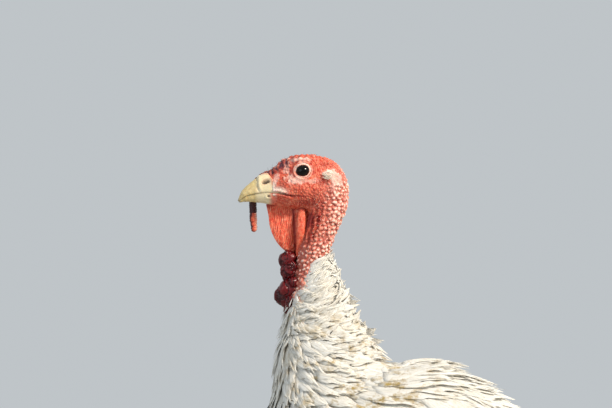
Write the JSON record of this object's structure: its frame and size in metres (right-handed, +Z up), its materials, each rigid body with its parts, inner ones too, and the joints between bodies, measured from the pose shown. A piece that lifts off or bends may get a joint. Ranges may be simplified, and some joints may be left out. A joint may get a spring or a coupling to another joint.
{
  "type": "domestic turkey",
  "caption": "Life-size still model of a white domestic turkey standing at rest, with a bare red head, snood, dewlap, folded wings and tail.",
  "frame": {"origin": "on the floor, under the middle of the bird's length and width", "axes": "+Z up; the bird faces -X and its left side is -Y"},
  "size_m": [0.8294, 0.3028, 0.8585],
  "materials": {
    "red_skin": "bare warty skin, red with pale tips",
    "dark_caruncle": "glossy dark red skin",
    "horn": "pale horn, satin",
    "eye": "wet and glossy",
    "white_feather": "soft matt feather, cream at the roots",
    "leg_scales": "scaled skin, satin",
    "beard_bristle": "coarse black bristle"
  },
  "bodies": {
    "root": {"beard": "beard_bristle", "bill_lower": "horn", "bill_upper": "horn", "caruncles": "dark_caruncle", "claw_left_hind": "horn", "claw_left_inner": "horn", "claw_left_middle": "horn", "claw_left_outer": "horn", "claw_right_hind": "horn", "claw_right_inner": "horn", "claw_right_middle": "horn", "claw_right_outer": "horn", "dewlap": "red_skin", "eye_left": "eye", "eye_right": "eye", "foot_left": "leg_scales", "foot_right": "leg_scales", "head": "red_skin", "neck_lower": "white_feather", "neck_upper": "red_skin", "shank_left": "leg_scales", "shank_right": "leg_scales", "snood": "red_skin", "tail": "white_feather", "thigh_left": "white_feather", "thigh_right": "white_feather", "torso": "white_feather", "wing_left": "white_feather", "wing_right": "white_feather"}
  },
  "joints": []
}
